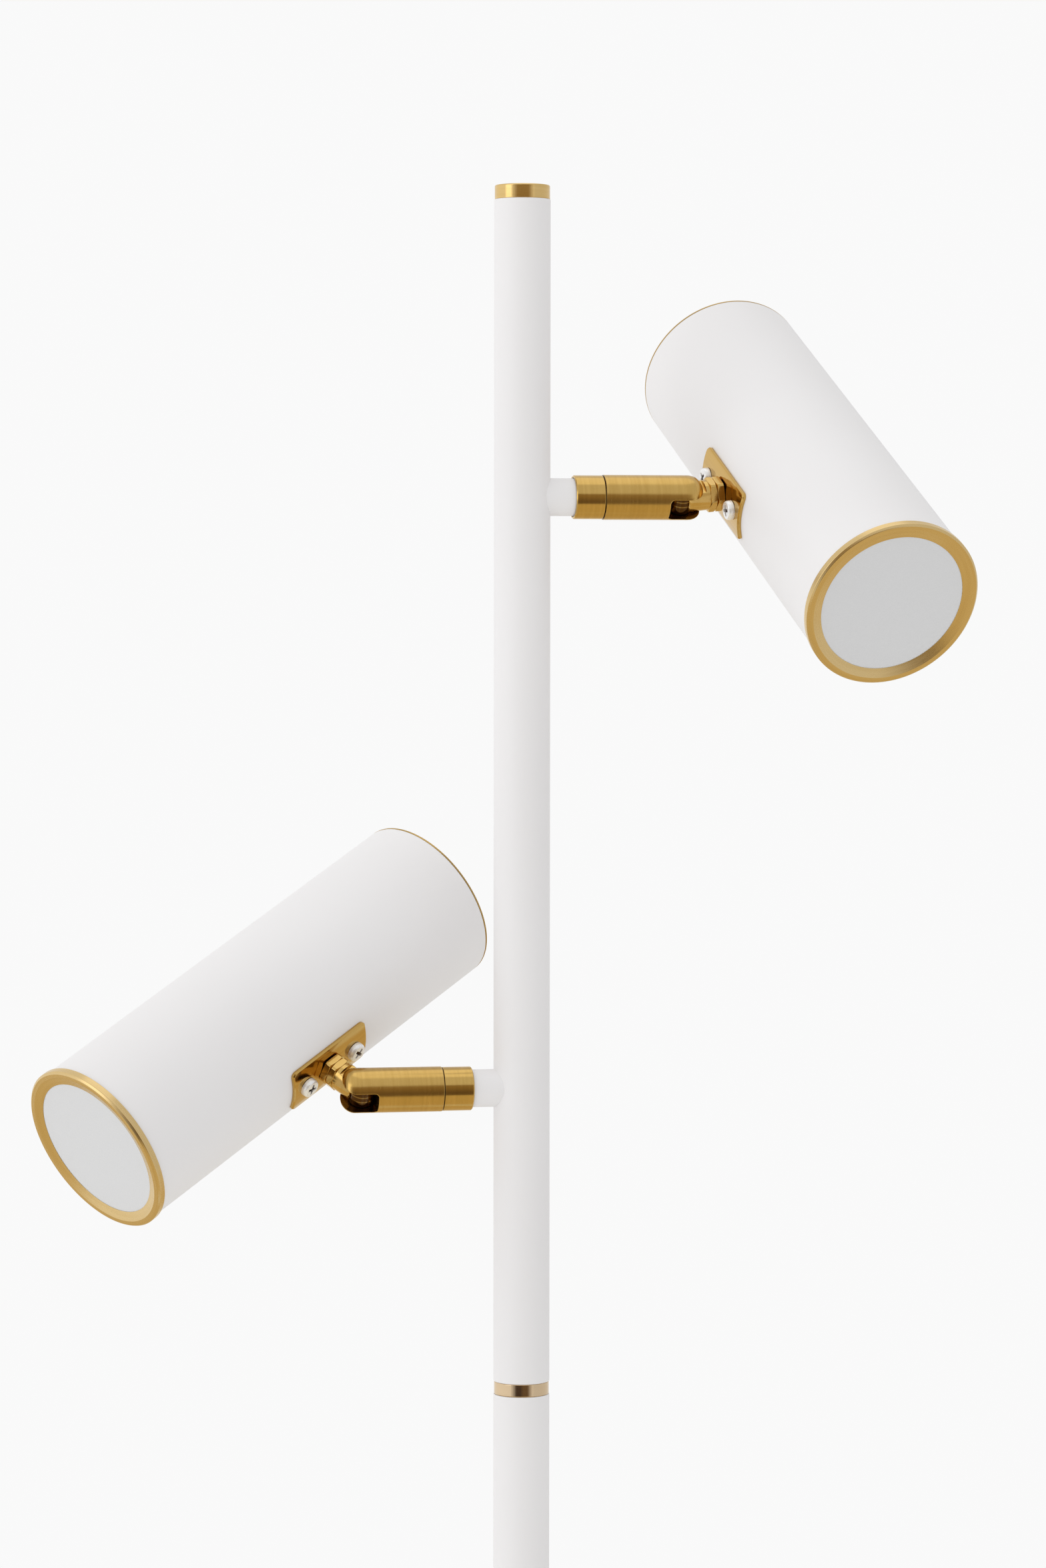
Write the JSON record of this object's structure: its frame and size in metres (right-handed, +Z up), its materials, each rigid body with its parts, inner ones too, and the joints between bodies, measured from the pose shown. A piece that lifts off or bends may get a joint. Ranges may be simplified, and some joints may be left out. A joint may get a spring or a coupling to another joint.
{
  "type": "two-head floor lamp",
  "caption": "Free-standing floor lamp: a slim pole on a round weighted base, with tubular spot heads on short arms that swivel and tilt.",
  "frame": {"origin": "centre of the base's underside, on the floor", "axes": "+Z up along the pole, +X along the upper arm, -X along the lower arm, and the light shines towards -Y"},
  "size_m": [0.3227, 0.252, 1.3008],
  "materials": {
    "white_paint": "matt white powder coat",
    "satin_brass": "fine brushed satin",
    "polished_brass": "polished",
    "zinc_steel": "zinc plated",
    "bright_screw": "bright nickel plate",
    "cast_iron": "as cast, black wash",
    "black_pad": "closed-cell foam",
    "black_rubber": "matt",
    "white_plastic": "moulded",
    "lead_jacket": "smooth sheath",
    "opal": "opal diffusing sheet",
    "circuit_board": "white solder mask",
    "aluminium": "extruded"
  },
  "bodies": {
    "stand": {"base_cover": "white_paint", "base_weight": "cast_iron", "base_pad": "black_pad", "base_washer": "zinc_steel", "base_nut": "zinc_steel", "base_rod": "zinc_steel", "cable_inlet": "black_rubber", "terminal_block": "white_plastic", "internal_lead": "lead_jacket", "lead_splice": "white_plastic", "foot_ring": "polished_brass", "foot_plug": "zinc_steel", "pole_lower": "white_paint", "lower_joint_ring": "polished_brass", "lower_coupler": "zinc_steel", "pole_middle": "white_paint", "upper_joint_ring": "polished_brass", "upper_coupler": "zinc_steel", "pole_upper": "white_paint", "top_cap": "satin_brass", "upper_stub": "white_paint", "upper_collar": "satin_brass", "upper_saddle_washer": "zinc_steel", "lower_stub": "white_paint", "lower_collar": "satin_brass", "lower_saddle_washer": "zinc_steel"},
    "upper_swivel": {"upper_barrel": "satin_brass", "upper_spindle": "zinc_steel", "upper_spindle_nut": "zinc_steel", "upper_pivot_screw": "zinc_steel"},
    "upper_head": {"upper_tongue": "satin_brass", "upper_lock_nut": "satin_brass", "upper_saddle": "polished_brass", "upper_saddle_screws": "bright_screw", "upper_stud_nut": "zinc_steel", "upper_head_tube": "white_paint", "upper_front_ring": "satin_brass", "upper_diffuser": "opal", "upper_mixing_cup": "white_plastic", "upper_led_board": "circuit_board", "upper_heat_sink": "aluminium", "upper_driver": "white_plastic", "upper_rear_cap": "satin_brass"},
    "lower_swivel": {"lower_barrel": "satin_brass", "lower_spindle": "zinc_steel", "lower_spindle_nut": "zinc_steel", "lower_pivot_screw": "zinc_steel"},
    "lower_head": {"lower_tongue": "satin_brass", "lower_lock_nut": "satin_brass", "lower_saddle": "polished_brass", "lower_saddle_screws": "bright_screw", "lower_stud_nut": "zinc_steel", "lower_head_tube": "white_paint", "lower_front_ring": "satin_brass", "lower_diffuser": "opal", "lower_mixing_cup": "white_plastic", "lower_led_board": "circuit_board", "lower_heat_sink": "aluminium", "lower_driver": "white_plastic", "lower_rear_cap": "satin_brass"}
  },
  "joints": [
    {"name": "upper_swivel_turn", "type": "hinge", "parent": "stand", "child": "upper_swivel", "pos_m": [0.029, 0, 1.1908], "axis": [1, 0, 0], "range_deg": [-170, 170]},
    {"name": "upper_head_tilt", "type": "hinge", "parent": "upper_swivel", "child": "upper_head", "pos_m": [0.0575, 0, 1.1908], "axis": [0, -0.6782, 0.7349], "range_deg": [-50, 33]},
    {"name": "lower_swivel_turn", "type": "hinge", "parent": "stand", "child": "lower_swivel", "pos_m": [-0.029, 0, 0.9808], "axis": [1, 0, 0], "range_deg": [-95, 10]},
    {"name": "lower_head_tilt", "type": "hinge", "parent": "lower_swivel", "child": "lower_head", "pos_m": [-0.0575, 0, 0.9808], "axis": [0, 0.6307, -0.776], "range_deg": [-109, 10.5]}
  ]
}
